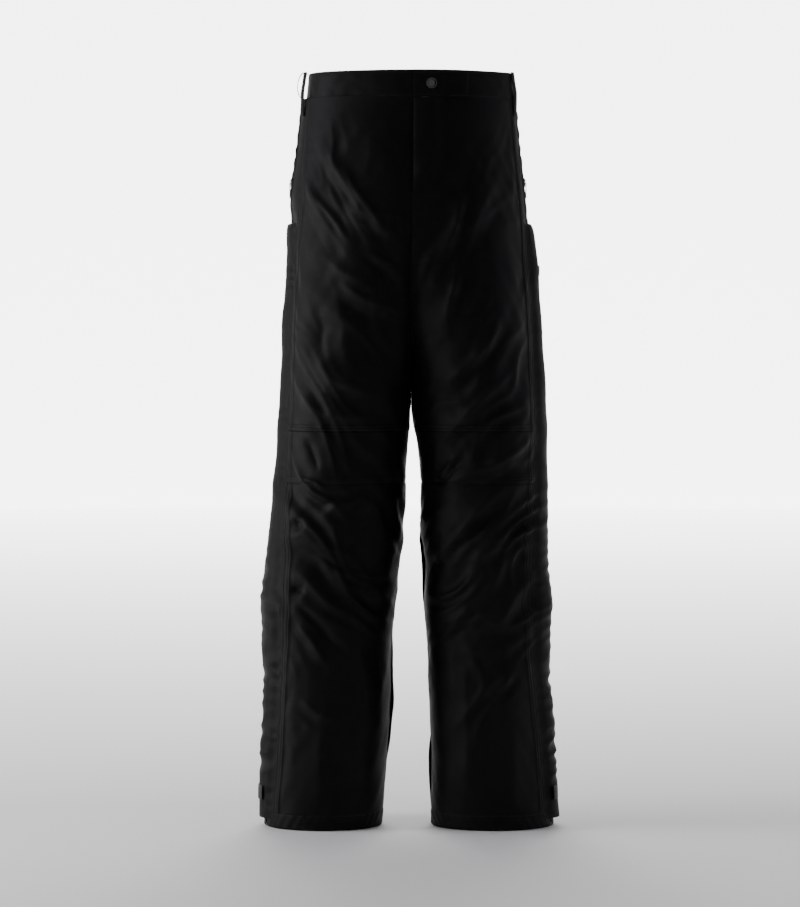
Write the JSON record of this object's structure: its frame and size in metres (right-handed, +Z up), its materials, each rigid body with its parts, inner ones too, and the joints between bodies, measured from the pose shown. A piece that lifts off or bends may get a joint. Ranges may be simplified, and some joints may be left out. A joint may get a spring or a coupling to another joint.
{
  "type": "bunker pants",
  "caption": "Black over-trousers with a snapped waist tab and zipped fly, belt loops, and a zip under a storm flap down each leg.",
  "frame": {"origin": "centre of the waist opening, half way up the waistband", "axes": "+Z up, front towards -Y, +X towards the wearer's left"},
  "size_m": [0.425, 0.2502, 1.0788],
  "materials": {
    "shell_cloth": "smooth tightly woven black cloth with a soft satin sheen",
    "lining": "dull dark grey woven lining",
    "webbing": "ribbed black tape",
    "zip_tape": "black herringbone zip tape",
    "zip_teeth": "satin black moulded coil",
    "gunmetal": "dark gunmetal plating, softly polished",
    "snap_metal": "nickel plating with a dark rim"
  },
  "bodies": {
    "root": {"front_thigh_panel_left": "shell_cloth", "knee_panel_left": "shell_cloth", "front_shin_panel_left": "shell_cloth", "side_panel_left": "shell_cloth", "back_panel_left": "shell_cloth", "front_hem_band_left": "shell_cloth", "back_hem_band_left": "shell_cloth", "front_thigh_panel_right": "shell_cloth", "knee_panel_right": "shell_cloth", "front_shin_panel_right": "shell_cloth", "side_panel_right": "shell_cloth", "back_panel_right": "shell_cloth", "front_hem_band_right": "shell_cloth", "back_hem_band_right": "shell_cloth", "leg_lining_left": "lining", "leg_lining_right": "lining", "waistband_right": "shell_cloth", "waistband_left": "shell_cloth", "waistband_facing": "lining", "waistband_tab_root": "shell_cloth", "fly_underlap": "shell_cloth", "fly_zip_tape": "zip_tape", "fly_zip_teeth": "zip_teeth", "side_zip_tape_left": "zip_tape", "side_zip_teeth_left": "zip_teeth", "side_zip_tape_right": "zip_tape", "side_zip_teeth_right": "zip_teeth", "waist_snap_stud": "gunmetal", "flap_snap_left_stud": "snap_metal", "hem_snap_left_stud": "snap_metal", "flap_snap_right_stud": "snap_metal", "hem_snap_right_stud": "snap_metal", "belt_loop_side_left": "webbing", "belt_loop_side_right": "webbing", "belt_loop_back_left": "webbing", "belt_loop_back_right": "webbing", "belt_loop_centre_back": "webbing", "hanger_loop": "webbing"},
    "fly_flap": {"waistband_tab": "shell_cloth", "fly_placket": "shell_cloth", "waist_snap_cap": "gunmetal"},
    "fly_slider": {"fly_slider": "gunmetal", "fly_pull": "gunmetal"},
    "upper_slider_left": {"upper_zip_left_slider": "gunmetal"},
    "upper_pull_left": {"upper_zip_left_pull": "gunmetal"},
    "lower_slider_left": {"lower_zip_left_slider": "gunmetal"},
    "lower_pull_left": {"lower_zip_left_pull": "gunmetal"},
    "storm_flap_left": {"storm_flap_left": "shell_cloth", "flap_snap_left_cap": "snap_metal"},
    "hem_tab_left": {"hem_tab_left": "webbing", "hem_snap_left_cap": "snap_metal"},
    "upper_slider_right": {"upper_zip_right_slider": "gunmetal"},
    "upper_pull_right": {"upper_zip_right_pull": "gunmetal"},
    "lower_slider_right": {"lower_zip_right_slider": "gunmetal"},
    "lower_pull_right": {"lower_zip_right_pull": "gunmetal"},
    "storm_flap_right": {"storm_flap_right": "shell_cloth", "flap_snap_right_cap": "snap_metal"},
    "hem_tab_right": {"hem_tab_right": "webbing", "hem_snap_right_cap": "snap_metal"}
  },
  "joints": [
    {"name": "fly_flap_hinge", "type": "hinge", "parent": "root", "child": "fly_flap", "pos_m": [0.04535, -0.11001, -0.0685], "axis": [0.0008, 0.0506, 0.9987], "range_deg": [0, 110]},
    {"name": "fly_zip_slide", "type": "slide", "parent": "root", "child": "fly_slider", "axis": [0, -0.0473, -0.9989], "range_m": [0, 0.1]},
    {"name": "upper_zip_slide_left", "type": "slide", "parent": "root", "child": "upper_slider_left", "axis": [0.0543, -0.0117, -0.9985], "range_m": [-0.036, 0.46]},
    {"name": "upper_pull_hinge_left", "type": "hinge", "parent": "upper_slider_left", "child": "upper_pull_left", "pos_m": [0.16211, -0.01519, -0.136], "axis": [-0.1724, -0.985, 0.0021], "range_deg": [0, 110]},
    {"name": "lower_zip_slide_left", "type": "slide", "parent": "root", "child": "lower_slider_left", "axis": [-0.0344, 0.0044, 0.9994], "range_m": [0, 0.38]},
    {"name": "lower_pull_hinge_left", "type": "hinge", "parent": "lower_slider_left", "child": "lower_pull_left", "pos_m": [0.20215, -0.02301, -1.03], "axis": [-0.2847, -0.9586, -0.0055], "range_deg": [0, 110]},
    {"name": "storm_flap_hinge_left", "type": "hinge", "parent": "root", "child": "storm_flap_left", "pos_m": [0.18145, -0.03575, -0.608], "axis": [0.039, -0.0136, -0.9991], "range_deg": [0, 115]},
    {"name": "hem_tab_hinge_left", "type": "hinge", "parent": "storm_flap_left", "child": "hem_tab_left", "pos_m": [0.20665, -0.03101, -1.008], "axis": [0.0346, -0.0012, -0.9994], "range_deg": [0, 100]},
    {"name": "upper_zip_slide_right", "type": "slide", "parent": "root", "child": "upper_slider_right", "axis": [-0.0543, -0.0117, -0.9985], "range_m": [-0.036, 0.46]},
    {"name": "upper_pull_hinge_right", "type": "hinge", "parent": "upper_slider_right", "child": "upper_pull_right", "pos_m": [-0.16211, -0.01519, -0.136], "axis": [-0.1724, 0.985, -0.0021], "range_deg": [0, 110]},
    {"name": "lower_zip_slide_right", "type": "slide", "parent": "root", "child": "lower_slider_right", "axis": [0.0344, 0.0044, 0.9994], "range_m": [0, 0.38]},
    {"name": "lower_pull_hinge_right", "type": "hinge", "parent": "lower_slider_right", "child": "lower_pull_right", "pos_m": [-0.20215, -0.02301, -1.03], "axis": [-0.2847, 0.9586, 0.0055], "range_deg": [0, 110]},
    {"name": "storm_flap_hinge_right", "type": "hinge", "parent": "root", "child": "storm_flap_right", "pos_m": [-0.18145, -0.03575, -0.608], "axis": [0.039, 0.0136, 0.9991], "range_deg": [0, 115]},
    {"name": "hem_tab_hinge_right", "type": "hinge", "parent": "storm_flap_right", "child": "hem_tab_right", "pos_m": [-0.20665, -0.03101, -1.008], "axis": [0.0346, 0.0012, 0.9994], "range_deg": [0, 100]}
  ]
}
